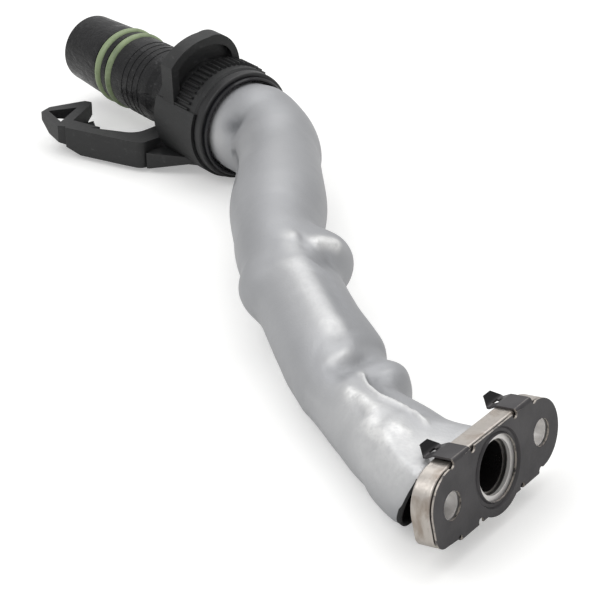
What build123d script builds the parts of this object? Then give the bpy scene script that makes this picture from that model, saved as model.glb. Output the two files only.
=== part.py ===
from build123d import *
from math import cos, exp, hypot, radians, sin
import os

os.makedirs("parts", exist_ok=True)

# Turbocharger oil return line: a two-bolt steel flange with a clipped gasket, a bent steel stub
# pipe, a moulded rubber hose, a loose aluminised heat sleeve over both, and a plastic push-in
# connector with two O-rings, a lock collar, a thumb ear and a hooked latch arm. Lengths in mm.
# Frame: +Z up as the line lies on a level surface, origin at the centre of the flange port
# on the sealing face of the gasket.

# Flange end: which way the sealing face looks, and how far it leans back
FACE_TURN = 37.0
FACE_LEAN = 10.0

# Two-bolt flange plate, rounded at the ends, one lower corner fuller than the rest
BOLT_SPACING = 38.0
BOLT_HOLE_D = 6.8
FLANGE_END_R = 8.6
FLANGE_END_X = 18.0
FLANGE_WAIST_W = 19.2
FLANGE_WAIST_L = 20.0
FLANGE_CORNER_R = 3.1
FLANGE_CORNER_X = 23.2
FLANGE_CORNER_DROP = 5.3
FLANGE_T = 5.2
FLANGE_EDGE_R = 0.5
GASKET_STANDOFF = 0.5
PORT_D = 13.3
PORT_LIP_T = 1.7
FIT_GAP = 0.05

# Embossed gasket sheet and its four clip tabs
SHEET_T = 0.5
SHEET_HOLE_D = 15.8
SHEET_PORT_R = 11.2
SHEET_PORT_DROP = 0.2
BEAD_R = 8.8
BEAD_W = 1.5
TAB_X = 13.2
TAB_W = 6.6
TAB_OUT = 9.95
TAB_STRAIGHT = 5.6
TAB_NECK_IN = 1.05
TAB_NECK_BACK = 8.0
TAB_FLARE = 0.95
TAB_END_BACK = 10.3
TAB_BEND_R = 0.8
TAB_FLARE_R = 1.2
TAB_CORNER = 2.0
TAB_ROOT_IN = 0.6
RELIEF_R = 0.95
WINDOW_L = 1.8
WINDOW_W = 2.2
WINDOW_BACK = 7.3

# Bent steel stub pipe brazed into the flange
PIPE_OD = 14.0
PIPE_WALL = 1.0
PIPE_ID = PIPE_OD - 2 * PIPE_WALL
PIPE_BEAD_R = 0.5
PIPE_BEAD_BACK = 2.5
BRAZE_LEG = 0.7

# Route of the line: corner points between the flange and the connector, with bend radii
ROUTE_STUB_L = 16.0
ROUTE_LOW = (-32.4, 35.7, -4.4)
ROUTE_HIGH = (-51.0, 100.7, 4.0)
ROUTE_LAST_L = 20.0
ROUTE_RADII = (30.0, 49.0, 40.0, 22.0)
PIPE_PAST_BEND = 27.0

# Moulded rubber hose pushed over the end of the pipe and over the connector's barb
HOSE_WALL = 2.5
HOSE_OD = PIPE_OD + 2 * HOSE_WALL
HOSE_OVERLAP = 15.0
HOSE_END_GAP = 2.5

# Steel ear clamps on both hose ends
CLAMP_T = 0.6
CLAMP_W = 7.0
CLAMP_SHEET = 0.8
EAR_CLAMP_W = 6.0
PIPE_CLAMP_EAR_H = 1.3
PIPE_CLAMP_ANGLE = 180.0
PLUG_CLAMP_AT = 8.5
PLUG_CLAMP_EAR_H = 2.0
PLUG_CLAMP_ANGLE = 90.0

# Heat sleeve: distance along the route and radius of its section there
SLEEVE_T = 0.9
SLEEVE_GAP = 0.4
MOUTH_SECTION = (8.0, 14.2)
NECK_SECTION = (26.0, 10.5)
LOW_BEND_SECTION = (45.0, 9.2)
MIDDLE_SECTION = (68.0, 12.4)
HIGH_BEND_SECTION = (118.0, 12.0)
FULL_SECTION = (145.0, 14.0)
WAIST_SECTION = (172.0, 12.8)
UPPER_SECTION = (195.0, 14.4)
END_SECTION = (211.0, 14.2)
SLEEVE_SECTIONS = (
    MOUTH_SECTION,
    NECK_SECTION,
    LOW_BEND_SECTION,
    MIDDLE_SECTION,
    HIGH_BEND_SECTION,
    FULL_SECTION,
    WAIST_SECTION,
    UPPER_SECTION,
    END_SECTION,
)
SLEEVE_FROM = 3.0
SLEEVE_STEP = 4.0
SLEEVE_POINTS = 18

# How far the loose end hangs to the left and down, the length over which that fades,
# the height its top keeps over the pipe at the flange, and the level it lies on
SAG_LEFT = 9.4
SAG_DOWN = 0.7
SAG_L = 70.0
TOP_AT_FLANGE = 6.9
TOP_RISE = 0.13
FLOOR_LEVEL = -14.6

# Mouth of the sleeve: one cut square to the pipe, one on the slant
MOUTH_CLEAR = 6.7
MOUTH_AT = 10.2
MOUTH_SLANT = 31.0

# Bunched folds of the sleeve: distance along the route, way it faces round the sleeve
# (0 left, 90 up, 180 right), rise, half length, half spread in degrees
FOLD_POWER = 2.6
FOLD_AT_LOW_BEND = (46.4, 168.0, 7.8, 8.3, 32.0)
FOLD_AT_HIGH_BEND = (109.0, 183.0, 7.0, 7.7, 43.0)
FOLD_OUTER_SIDE = (100.4, 5.0, 2.8, 6.0, 40.0)
SWELL_PAST_LOW_BEND = (63.6, 174.0, 2.2, 12.7, 26.0)
SWELL_BEHIND_FLANGE = (31.0, 204.0, 4.2, 16.0, 24.0)
HOLLOW_AT_LAST_BEND = (187.0, 150.0, -1.6, 12.0, 45.0)
SWELL_AT_PLUG = (202.0, 108.0, 0.9, 5.0, 50.0)
SLEEVE_FOLDS = (
    FOLD_AT_LOW_BEND,
    FOLD_AT_HIGH_BEND,
    FOLD_OUTER_SIDE,
    SWELL_PAST_LOW_BEND,
    SWELL_BEHIND_FLANGE,
    HOLLOW_AT_LAST_BEND,
    SWELL_AT_PLUG,
)

# Connector: port axis direction in plan, position of the ring face on that axis
PLUG_TURN = 52.0
PLUG_BASE = (-63.4, 192.4, 3.5)
PLUG_L = 87.4
PLUG_R = 12.4
PLUG_NOSE_R = 11.5
PLUG_NOSE_L = 19.4
PLUG_BORE_R = 8.5
PLUG_BORE_L = 58.0
BORE_CONE_L = 6.0
BARB_BORE_R = 5.0
BARB_L = 10.0
BARB_ROOT_R = 6.4
BARB_PITCH = 4.0
SHOULDER_R = 12.0
NECK_R = 11.8
NECK_L = 8.6
NECK_FLARE_L = 3.0

# O-rings, measured back from the end of the nose, and fine ribs that start clear of the neck's flare
ORING_D = 3.2
ORING_BACK = (29.2, 23.0)
ORING_OUT_R = 13.1
GROOVE_W = 3.8
RIB_GAP = 5.0
RIB_PITCH = 3.0
RIB_COUNT = 4
RIB_W = 0.8
RIB_H = 0.12

# Lock collar
COLLAR_FROM = 1.8
COLLAR_TO = 24.2
COLLAR_R = 17.6
COLLAR_GAP = 0.2
COLLAR_BAND_TO = 5.4
COLLAR_END_L = 2.0
TOOTH_L = 6.8
TOOTH_H = 1.0
TOOTH_W = 1.1
TOOTH_PITCH_DEG = 6.0
TOOTH_ARC = (24.0, 210.0)
TOOTH_BED_R = 17.5
SKIRT_R = 18.1

# Thumb ear on the collar: its height over the axis, its two sides and its rim
EAR_FROM = 12.4
EAR_T = 5.8
EAR_RECESS = 2.2
EAR_TOP = 25.9
EAR_PEAK = 3.0
EAR_LEFT = 17.4
EAR_RIGHT = 8.6
EAR_RIM = 2.7

# Latch arm, drawn in plan beside the plug: along the plug axis, out to the side
ARM_TOP = -7.8
ARM_BOTTOM = -16.6
ARM_ROOT_FROM = 17.0
ARM_ROOT_L = 14.5
ARM_ROOT_IN = 9.0
ARM_ROOT_T = 5.0
ARM_KNEE = (21.8, 23.6)
ARM_KNEE_IN = (29.6, 20.2)
ARM_TIP = (50.6, 36.9)
ARM_TIP_IN = (44.0, 30.2)
ARM_UNDERCUT = 2.9
WEB_H = 5.3

# Hook head at the end of the arm, with two open pockets
HOOK_TIP = (66.0, 30.6)
HOOK_HEEL = (64.0, 35.2)
HOOK_POINT = (61.2, 17.2)
HOOK_DEPTH = 7.4
HOOK_TAPER_L = 8.0
ARM_POCKET_D = 5.4

# Rings at the mouth of the collar
RING_OUT_R = 17.3
RING_FROM = -2.0
RING_TO = 1.6
RING_EDGE_R = 0.7
LIP_IN_R = 14.9
LIP_OUT_R = 16.2
LIP_GAP = 0.05
LIP_SEAT = 0.3
LIP_FROM = -3.4


# Reference planes
turn = radians(FACE_TURN)
lean = radians(FACE_LEAN)
face_dir = Vector(cos(turn) * cos(lean), -sin(turn) * cos(lean), sin(lean))
long_dir = Vector(sin(turn), cos(turn), 0)
flange_plane = Plane(origin=(0, 0, 0), x_dir=long_dir, z_dir=face_dir)
flange_axis = Axis((0, 0, 0), tuple(face_dir))
flange_side = Plane(origin=(0, 0, 0), x_dir=long_dir, z_dir=-flange_plane.y_dir)

plug_turn = radians(PLUG_TURN)
plug_dir = Vector(-cos(plug_turn), sin(plug_turn), 0)
side_dir = Vector(-sin(plug_turn), -cos(plug_turn), 0)
plug_plane = Plane(origin=PLUG_BASE, x_dir=side_dir, z_dir=plug_dir)
plug_side = Plane(origin=PLUG_BASE, x_dir=(0, 0, 1), z_dir=side_dir)
plug_wall = Plane(origin=PLUG_BASE, x_dir=plug_dir, z_dir=-side_dir)
plug_axis = Axis(PLUG_BASE, tuple(plug_dir))
plug_plan = Plane(origin=PLUG_BASE, x_dir=plug_dir, z_dir=(0, 0, 1))


def flange_point(back):
    """Point on the port axis, a distance behind the sealing face."""
    return flange_plane.from_local_coords((0, 0, -back))


def plug_point(along):
    """Point on the plug axis, a distance from the ring face towards the nose."""
    return plug_plane.from_local_coords((0, 0, along))


def station(path, distance):
    """Plane across a path, its x pointing level to the left of the way of travel."""
    share = distance / path.length
    heading = path % share
    return Plane(origin=path @ share, x_dir=Vector(0, 0, 1).cross(heading), z_dir=heading)


# Route shared by the pipe, the hose and the sleeve
route_corners = (
    flange_point(ROUTE_STUB_L),
    Vector(*ROUTE_LOW),
    Vector(*ROUTE_HIGH),
    plug_point(-ROUTE_LAST_L),
)
with BuildLine() as route_line:
    FilletPolyline(flange_point(0), *route_corners, plug_point(0), radius=ROUTE_RADII)
route = route_line.wire()

# Pipe through the low bend, hose over its end and on to the connector
middle_dir = (route_corners[2] - route_corners[1]).normalized()
pipe_start = flange_point(SHEET_T + GASKET_STANDOFF + PORT_LIP_T + FIT_GAP)
pipe_end = route_corners[1] + middle_dir * PIPE_PAST_BEND
with BuildLine() as pipe_line:
    FilletPolyline(pipe_start, *route_corners[:2], pipe_end, radius=ROUTE_RADII[:2])
pipe_path = pipe_line.wire()
pipe_bead_plane = station(pipe_path, pipe_path.length - PIPE_BEAD_BACK)

hose_start = pipe_end - middle_dir * HOSE_OVERLAP
hose_stop = plug_point(-HOSE_END_GAP)
with BuildLine() as hose_line:
    FilletPolyline(hose_start, *route_corners[2:], hose_stop, radius=ROUTE_RADII[2:])


# Flange plate
flange_front = -(SHEET_T + GASKET_STANDOFF)
with BuildPart() as flange:
    with BuildSketch(flange_plane.offset(flange_front)):
        with Locations((-FLANGE_END_X, 0), (FLANGE_END_X, 0)):
            Circle(FLANGE_END_R)
        with Locations((-FLANGE_CORNER_X, -FLANGE_CORNER_DROP)):
            Circle(FLANGE_CORNER_R)
        Rectangle(FLANGE_WAIST_L, FLANGE_WAIST_W)
        make_hull()
    extrude(amount=-FLANGE_T)
    rims = flange.faces().filter_by(flange_axis)
    fillet(rims.edges(), radius=FLANGE_EDGE_R)
    with BuildSketch(flange_plane.offset(flange_front)):
        Circle(PORT_D / 2)
        with Locations((-BOLT_SPACING / 2, 0), (BOLT_SPACING / 2, 0)):
            Circle(BOLT_HOLE_D / 2)
    extrude(amount=-FLANGE_T, mode=Mode.SUBTRACT)
    with BuildSketch(flange_plane.offset(flange_front - PORT_LIP_T)):
        Circle(PIPE_OD / 2 + FIT_GAP)
    extrude(amount=-FLANGE_T, mode=Mode.SUBTRACT)

flange.part.label = "flange"
export_step(flange.part, "parts/flange.step")


# Embossed gasket with four clip tabs
tab_end_out = TAB_OUT + TAB_FLARE
half_tab = TAB_W / 2
with BuildPart() as flange_gasket:
    with BuildSketch(flange_plane):
        with Locations((-FLANGE_END_X, 0), (FLANGE_END_X, 0)):
            Circle(FLANGE_END_R)
        with Locations((-FLANGE_CORNER_X, -FLANGE_CORNER_DROP)):
            Circle(FLANGE_CORNER_R)
        Rectangle(FLANGE_WAIST_L, FLANGE_WAIST_W)
        make_hull()
        with Locations((0, -SHEET_PORT_DROP)):
            SlotCenterToCenter(0.01, 2 * SHEET_PORT_R)
        with Locations((0, FLANGE_WAIST_W / 2)):
            Rectangle(
                FLANGE_WAIST_L,
                SHEET_PORT_R,
                align=(Align.CENTER, Align.MIN),
                mode=Mode.SUBTRACT,
            )
        Circle(SHEET_HOLE_D / 2, mode=Mode.SUBTRACT)
        with Locations((-BOLT_SPACING / 2, 0), (BOLT_SPACING / 2, 0)):
            Circle(BOLT_HOLE_D / 2, mode=Mode.SUBTRACT)
        for x in (-TAB_X, TAB_X):
            for side in (-1, 1):
                relief_y = side * (FLANGE_END_R + TAB_ROOT_IN)
                for edge in (-1, 1):
                    with Locations((x + edge * (half_tab + RELIEF_R), relief_y)):
                        Circle(RELIEF_R, mode=Mode.SUBTRACT)
    extrude(amount=-SHEET_T)
    for x in (-TAB_X, TAB_X):
        for side in (-1, 1):
            tab_plane = Plane(
                origin=flange_plane.from_local_coords((x, 0, 0)),
                x_dir=flange_plane.y_dir * side,
                z_dir=flange_plane.x_dir * side,
            )
            mid = -SHEET_T / 2
            with BuildLine(tab_plane) as tab_line:
                FilletPolyline(
                    (FLANGE_END_R - TAB_ROOT_IN, mid),
                    (TAB_OUT, mid),
                    (TAB_OUT, -TAB_STRAIGHT),
                    (TAB_OUT - TAB_NECK_IN, -TAB_NECK_BACK),
                    (tab_end_out, -TAB_END_BACK),
                    radius=(TAB_BEND_R, TAB_FLARE_R, TAB_BEND_R),
                )
            tab_wire = tab_line.wire()
            tab_start = Plane(origin=tab_wire @ 0, x_dir=tab_plane.z_dir, z_dir=tab_wire % 0)
            with BuildSketch(tab_start):
                Rectangle(TAB_W, SHEET_T)
            sweep(path=tab_wire)
            tab_top = Plane(
                origin=tab_plane.from_local_coords((2 * TAB_OUT, 0, 0)),
                x_dir=-tab_plane.z_dir,
                z_dir=tab_plane.x_dir,
            )
            with BuildSketch(tab_top):
                with Locations((0, -WINDOW_BACK)):
                    Rectangle(WINDOW_W, WINDOW_L)
                for edge in (-1, 1):
                    with BuildLine():
                        Polyline(
                            (edge * half_tab, -TAB_END_BACK + TAB_CORNER),
                            (edge * TAB_W, -TAB_END_BACK - TAB_W / 2),
                            (edge * (half_tab - TAB_CORNER), -TAB_END_BACK - TAB_W / 2),
                            (edge * (half_tab - TAB_CORNER), -TAB_END_BACK),
                            close=True,
                        )
                    make_face()
            extrude(amount=-TAB_OUT - 2 * TAB_NECK_IN, mode=Mode.SUBTRACT)
    for low, mode in ((-SHEET_T, Mode.ADD), (0, Mode.SUBTRACT)):
        with BuildSketch(flange_side):
            with BuildLine():
                Polyline(
                    (BEAD_R - BEAD_W / 2, low),
                    (BEAD_R - BEAD_W / 4, low - GASKET_STANDOFF),
                    (BEAD_R + BEAD_W / 4, low - GASKET_STANDOFF),
                    (BEAD_R + BEAD_W / 2, low),
                    close=True,
                )
            make_face()
        revolve(axis=flange_axis, mode=mode)

flange_gasket.part.label = "flange_gasket"
export_step(flange_gasket.part, "parts/flange_gasket.step")


# Bent steel stub pipe with its retaining bead
with BuildPart() as stub_pipe:
    with BuildSketch(Plane(origin=pipe_start, x_dir=long_dir, z_dir=-face_dir)):
        Circle(PIPE_OD / 2)
        Circle(PIPE_ID / 2, mode=Mode.SUBTRACT)
    sweep(path=pipe_path)
    with Locations(pipe_bead_plane.location):
        Torus(PIPE_OD / 2 - 0.1, PIPE_BEAD_R)
        Cylinder(PIPE_ID / 2, 4 * PIPE_BEAD_R, mode=Mode.SUBTRACT)

stub_pipe.part.label = "stub_pipe"
export_step(stub_pipe.part, "parts/stub_pipe.step")


# Braze fillet between the flange and the stub
flange_back = flange_front - FLANGE_T
pipe_r = PIPE_OD / 2
with BuildPart() as braze_fillet:
    with BuildSketch(flange_side):
        with BuildLine():
            Line((pipe_r, flange_back), (pipe_r + BRAZE_LEG, flange_back))
            RadiusArc(
                (pipe_r + BRAZE_LEG, flange_back),
                (pipe_r, flange_back - BRAZE_LEG),
                -BRAZE_LEG * 1.2,
            )
            Line((pipe_r, flange_back - BRAZE_LEG), (pipe_r, flange_back))
        make_face()
    revolve(axis=flange_axis)

braze_fillet.part.label = "braze_fillet"
export_step(braze_fillet.part, "parts/braze_fillet.step")


# Moulded rubber hose
with BuildPart() as hose:
    with BuildSketch(Plane(origin=hose_start, x_dir=side_dir, z_dir=middle_dir)):
        Circle(HOSE_OD / 2)
        Circle(pipe_r, mode=Mode.SUBTRACT)
    sweep(path=hose_line.wire())
    with Locations(pipe_bead_plane.location):
        Torus(pipe_r - 0.1, PIPE_BEAD_R, mode=Mode.SUBTRACT)

hose.part.label = "hose"
export_step(hose.part, "parts/hose.step")


def ear_clamp(where, ear_height, ear_angle):
    """Sheet-steel band round the hose with a folded ear, centred on a plane across it."""
    band_r = HOSE_OD / 2 + CLAMP_T
    root_r = HOSE_OD / 2 - CLAMP_T
    ear_l = band_r + ear_height - root_r
    with BuildPart() as clamp:
        with BuildSketch(where.offset(-CLAMP_W / 2)):
            Circle(band_r)
            Circle(HOSE_OD / 2, mode=Mode.SUBTRACT)
        extrude(amount=CLAMP_W)
        with BuildSketch(where.offset(-CLAMP_W / 2 + CLAMP_SHEET)) as ear_profile:
            with PolarLocations(root_r, 1, start_angle=ear_angle):
                Rectangle(ear_l, EAR_CLAMP_W, align=(Align.MIN, Align.CENTER))
            corners = ear_profile.vertices().sort_by(lambda corner: corner.center().length)[-2:]
            fillet(corners, radius=min(ear_height, EAR_CLAMP_W) * 0.36)
            with PolarLocations(root_r, 1, start_angle=ear_angle):
                Rectangle(
                    ear_l - CLAMP_SHEET,
                    EAR_CLAMP_W - 2 * CLAMP_SHEET,
                    align=(Align.MIN, Align.CENTER),
                    mode=Mode.SUBTRACT,
                )
            Circle(band_r - CLAMP_T / 2, mode=Mode.SUBTRACT)
        extrude(amount=CLAMP_W - 2 * CLAMP_SHEET)
    return clamp.part


pipe_clamp_plane = Plane(
    origin=hose_start + middle_dir * (HOSE_OVERLAP / 2),
    x_dir=Vector(0, 0, 1).cross(middle_dir),
    z_dir=middle_dir,
)
pipe_clamp = ear_clamp(pipe_clamp_plane, PIPE_CLAMP_EAR_H, PIPE_CLAMP_ANGLE)
pipe_clamp.label = "hose_clamp_pipe"
export_step(pipe_clamp, "parts/hose_clamp_pipe.step")

plug_clamp_plane = Plane(origin=plug_point(-PLUG_CLAMP_AT), x_dir=side_dir, z_dir=plug_dir)
plug_clamp = ear_clamp(plug_clamp_plane, PLUG_CLAMP_EAR_H, PLUG_CLAMP_ANGLE)
plug_clamp.label = "hose_clamp_plug"
export_step(plug_clamp, "parts/hose_clamp_plug.step")


def ease(share):
    """Smooth step from 0 to 1."""
    share = min(max(share, 0.0), 1.0)
    return share * share * (3 - 2 * share)


def sleeve_radius(distance, angle):
    """Radius of the sleeve's section at a distance along the route and an angle round it."""
    radius = SLEEVE_SECTIONS[0][1]
    for before, after in zip(SLEEVE_SECTIONS, SLEEVE_SECTIONS[1:]):
        share = (distance - before[0]) / (after[0] - before[0])
        radius += (after[1] - before[1]) * ease(share)
    for at, faces, rise, half_length, half_spread in SLEEVE_FOLDS:
        away = (angle - faces + 180) % 360 - 180
        along = abs((distance - at) / half_length) ** FOLD_POWER
        around = abs(away / half_spread) ** FOLD_POWER
        radius += rise * exp(-along - around)
    return radius


def sleeve_ring(where, distance, inset):
    """Points of one section: hung to the left, held off the pipe, laid on the floor."""
    hang = 1 - ease(distance / SAG_L)
    clear = PIPE_OD / 2 + SLEEVE_T + SLEEVE_GAP - inset
    top = TOP_AT_FLANGE + TOP_RISE * distance - inset
    floor = (FLOOR_LEVEL + inset - where.origin.Z) / where.y_dir.Z
    ring = []
    for index in range(SLEEVE_POINTS):
        angle = 360 * index / SLEEVE_POINTS
        reach = sleeve_radius(distance, angle) - inset
        x = reach * cos(radians(angle)) + SAG_LEFT * hang
        y = reach * sin(radians(angle)) - SAG_DOWN * hang
        y = min(y, top)
        push = max(1.0, clear / hypot(x, y))
        ring.append((x * push, max(y * push, floor)))
    return ring


def sleeve_solid(inset):
    """Closed form of the sleeve's outside, or of its inside when inset by the wall."""
    count = round((route.length - SLEEVE_FROM) / SLEEVE_STEP)
    with BuildPart() as form:
        for index in range(count + 1):
            distance = SLEEVE_FROM + (route.length - SLEEVE_FROM) * index / count
            where = station(route, distance)
            with BuildSketch(where):
                with BuildLine():
                    Spline(*sleeve_ring(where, distance, inset), periodic=True)
                make_face()
        loft()
    return form.part


# Heat sleeve, one piece, open at both ends
slant = radians(MOUTH_SLANT)
mouth_plane = Plane(
    origin=flange_point(MOUTH_AT),
    z_dir=face_dir * cos(slant) - flange_plane.y_dir * sin(slant),
)
with BuildPart() as heat_sleeve:
    add(sleeve_solid(0))
    add(sleeve_solid(SLEEVE_T), mode=Mode.SUBTRACT)
    split(bisect_by=mouth_plane, keep=Keep.BOTTOM)
    split(bisect_by=flange_plane.offset(-MOUTH_CLEAR), keep=Keep.BOTTOM)

heat_sleeve.part.label = "heat_sleeve"
export_step(heat_sleeve.part, "parts/heat_sleeve.step")


# Connector plug: hollow nose, O-ring grooves, fine ribs, shoulder and hose barb
barb_start = -HOSE_END_GAP - BARB_L
barb_steps = int(BARB_L / BARB_PITCH)
neck_from = COLLAR_TO + COLLAR_GAP
bore_end = PLUG_L - PLUG_BORE_L
oring_at = [PLUG_L - back for back in ORING_BACK]
rib_from = neck_from + NECK_L + NECK_FLARE_L + RIB_GAP
with BuildPart() as plug_body:
    with BuildSketch(plug_side):
        with BuildLine():
            Polyline(
                (BARB_BORE_R, barb_start),
                (BARB_ROOT_R, barb_start),
                (BARB_ROOT_R, -HOSE_END_GAP + 0.6),
                (SHOULDER_R, -HOSE_END_GAP + 0.6),
                (SHOULDER_R, neck_from),
                (NECK_R + 0.8, neck_from),
                (NECK_R + 0.8, neck_from + NECK_L * 0.3),
                (NECK_R, neck_from + NECK_L * 0.5),
                (NECK_R, neck_from + NECK_L),
                (PLUG_R, neck_from + NECK_L + NECK_FLARE_L),
                (PLUG_R, PLUG_L - PLUG_NOSE_L),
                (PLUG_NOSE_R, PLUG_L - 1.2),
                (PLUG_NOSE_R - 1.2, PLUG_L),
                (PLUG_BORE_R, PLUG_L),
                (PLUG_BORE_R, bore_end),
                (BARB_BORE_R, bore_end - BORE_CONE_L),
                close=True,
            )
        make_face()
        for index in range(barb_steps):
            start = barb_start + index * BARB_PITCH
            with BuildLine():
                Polyline(
                    (BARB_ROOT_R - 0.2, start),
                    (BARB_ROOT_R, start),
                    (pipe_r, start + 0.75 * BARB_PITCH),
                    (BARB_ROOT_R - 0.2, start + 0.75 * BARB_PITCH),
                    close=True,
                )
            make_face()
        for index in range(RIB_COUNT):
            with Locations((PLUG_R, rib_from + index * RIB_PITCH)):
                Rectangle(2 * RIB_H, RIB_W)
        for at in oring_at:
            with Locations((PLUG_R, at)):
                Rectangle(2 * (PLUG_R - ORING_OUT_R + ORING_D), GROOVE_W, mode=Mode.SUBTRACT)
    revolve(axis=plug_axis)

plug_body.part.label = "plug_body"
export_step(plug_body.part, "parts/plug_body.step")


# Two O-rings in their grooves
for name, at in zip(("o_ring_rear", "o_ring_front"), oring_at):
    with BuildPart() as o_ring:
        with Locations(plug_plane.offset(at).location):
            Torus(ORING_OUT_R - ORING_D / 2, ORING_D / 2)
    o_ring.part.label = name
    export_step(o_ring.part, "parts/" + name + ".step")


# Lock collar with thumb ear, grip teeth, skirt, latch arm and hook in one moulding
collar_bore = SHOULDER_R + COLLAR_GAP
ear_to = EAR_FROM + EAR_T
arm_low = ARM_TOP - HOOK_DEPTH
with BuildPart() as lock_collar:
    # Latch arm: a band that leaves the back of the collar, turns and runs beside the plug
    with BuildSketch(plug_plan.offset(ARM_BOTTOM)):
        with BuildLine():
            FilletPolyline(
                (ARM_ROOT_FROM, ARM_ROOT_IN),
                (ARM_ROOT_FROM + ARM_ROOT_L, ARM_ROOT_IN),
                ARM_KNEE_IN,
                ARM_TIP_IN,
                ARM_TIP,
                (ARM_KNEE[0] + ARM_ROOT_T + 1.0, ARM_KNEE[1] + 3.0),
                ARM_KNEE,
                (ARM_ROOT_FROM + ARM_ROOT_T + 0.6, ARM_ROOT_IN + ARM_ROOT_T),
                (ARM_ROOT_FROM, ARM_ROOT_IN + ARM_ROOT_T),
                radius=(1.0, 6.0, 8.0, 0.6, 4.0, 3.0, 2.0),
            )
            Line((ARM_ROOT_FROM, ARM_ROOT_IN + ARM_ROOT_T), (ARM_ROOT_FROM, ARM_ROOT_IN))
        make_face()
    extrude(amount=ARM_TOP - ARM_BOTTOM)
    # Web under the arm back to the collar, with an open pocket above it
    with BuildSketch(plug_plan.offset(ARM_BOTTOM)):
        with BuildLine():
            Polyline(
                (ARM_ROOT_IN - 1.0, ARM_ROOT_IN - 5.0),
                (ARM_ROOT_IN - 1.0, ARM_ROOT_IN + 3.0),
                (ARM_KNEE[0] - 0.6, ARM_KNEE[1] - 1.4),
                (ARM_KNEE[0] + 2.4, ARM_ROOT_IN + ARM_ROOT_T),
                (ARM_KNEE[0] + 2.4, ARM_ROOT_IN - 5.0),
                close=True,
            )
        make_face()
    extrude(amount=WEB_H)
    # Hook head with two open pockets and the rib between them
    with BuildSketch(plug_plan.offset(ARM_TOP)):
        with BuildLine():
            FilletPolyline(
                (ARM_TIP_IN[0] - 1.0, ARM_TIP_IN[1] - 0.4),
                (ARM_TIP_IN[0] - 3.0, ARM_TIP_IN[1] - 3.6),
                HOOK_POINT,
                (HOOK_POINT[0] + 2.2, HOOK_POINT[1] + 1.2),
                HOOK_TIP,
                HOOK_HEEL,
                ARM_TIP,
                radius=(0.5, 0.8, 0.8, 2.0, 1.5),
            )
            Line(ARM_TIP, (ARM_TIP_IN[0] - 1.0, ARM_TIP_IN[1] - 0.4))
        make_face()
    extrude(amount=-HOOK_DEPTH)
    with BuildSketch(plug_plan.offset(ARM_TOP)):
        with BuildLine():
            Polyline(
                (HOOK_POINT[0] - 0.2, HOOK_POINT[1] - 0.6),
                (HOOK_POINT[0] - 9.8, ARM_TIP_IN[1] + 0.2),
                (ARM_TIP_IN[0] - 2.0, ARM_TIP_IN[1] - 3.3),
                (ARM_TIP_IN[0] - 4.0, ARM_TIP_IN[1] - 4.2),
                (HOOK_POINT[0] - 11.2, HOOK_POINT[1] + 2.8),
                close=True,
            )
        make_face()
        with BuildLine():
            Polyline(
                (HOOK_HEEL[0] - 0.8, HOOK_HEEL[1] - 2.6),
                (HOOK_TIP[0] - 6.0, HOOK_TIP[1] - 7.0),
                (HOOK_HEEL[0] - 11.0, HOOK_HEEL[1] - 1.0),
                close=True,
            )
        make_face()
    extrude(amount=-ARM_POCKET_D, mode=Mode.SUBTRACT)
    # Underside: thin at the hook's tip, raised where the arm meets the collar
    with BuildSketch(plug_wall):
        with BuildLine():
            Polyline(
                (HOOK_TIP[0] + 2.0, ARM_BOTTOM - 1.0),
                (HOOK_TIP[0] + 2.0, ARM_TOP - 0.4),
                (HOOK_TIP[0] - 1.0, ARM_TOP - 1.6),
                (HOOK_TIP[0] - HOOK_TAPER_L, arm_low + 2.0),
                (ARM_TIP[0], arm_low + 1.6),
                (ARM_TIP_IN[0] - 1.0, ARM_BOTTOM),
                (ARM_TIP_IN[0] - 1.0, ARM_BOTTOM - 1.0),
                close=True,
            )
        make_face()
    extrude(amount=-2 * ARM_TIP[1], mode=Mode.SUBTRACT)
    with BuildSketch(plug_plane):
        with BuildLine():
            Polyline(
                (0, ARM_BOTTOM - 1.0),
                (ARM_KNEE[1] - 2.0, ARM_BOTTOM - 1.0),
                (ARM_KNEE[1] - 2.0, ARM_BOTTOM),
                (ARM_KNEE[1] - 10.0, ARM_BOTTOM + ARM_UNDERCUT),
                (0, ARM_BOTTOM + ARM_UNDERCUT),
                close=True,
            )
        make_face()
    extrude(amount=ARM_ROOT_FROM + ARM_ROOT_L + 1.0, mode=Mode.SUBTRACT)
    # Band and toothed bed
    with BuildSketch(plug_side):
        with BuildLine():
            Polyline(
                (collar_bore, COLLAR_FROM),
                (COLLAR_R - 0.8, COLLAR_FROM),
                (COLLAR_R, COLLAR_FROM + 0.8),
                (COLLAR_R, COLLAR_BAND_TO),
                (TOOTH_BED_R, COLLAR_BAND_TO),
                (TOOTH_BED_R, COLLAR_TO - COLLAR_END_L),
                (TOOTH_BED_R - COLLAR_END_L, COLLAR_TO),
                (collar_bore, COLLAR_TO),
                close=True,
            )
        make_face()
    revolve(axis=plug_axis)
    tooth_count = int((TOOTH_ARC[1] - TOOTH_ARC[0]) / TOOTH_PITCH_DEG)
    with BuildSketch(plug_plane.offset(COLLAR_BAND_TO)):
        with PolarLocations(
            TOOTH_BED_R - 0.1,
            tooth_count,
            start_angle=TOOTH_ARC[0],
            angular_range=tooth_count * TOOTH_PITCH_DEG,
        ):
            Trapezoid(TOOTH_W, TOOTH_H + 0.1, 70, align=(Align.CENTER, Align.MIN), rotation=-90)
    extrude(amount=TOOTH_L)
    with BuildSketch(plug_plane.offset(COLLAR_FROM)):
        Circle(SKIRT_R)
        Rectangle(
            4 * SKIRT_R,
            2 * SKIRT_R,
            rotation=TOOTH_ARC[0] - 1.5,
            align=(Align.CENTER, Align.MIN),
            mode=Mode.SUBTRACT,
        )
        Circle(collar_bore, mode=Mode.SUBTRACT)
    extrude(amount=COLLAR_TO - COLLAR_FROM - COLLAR_END_L)
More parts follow.
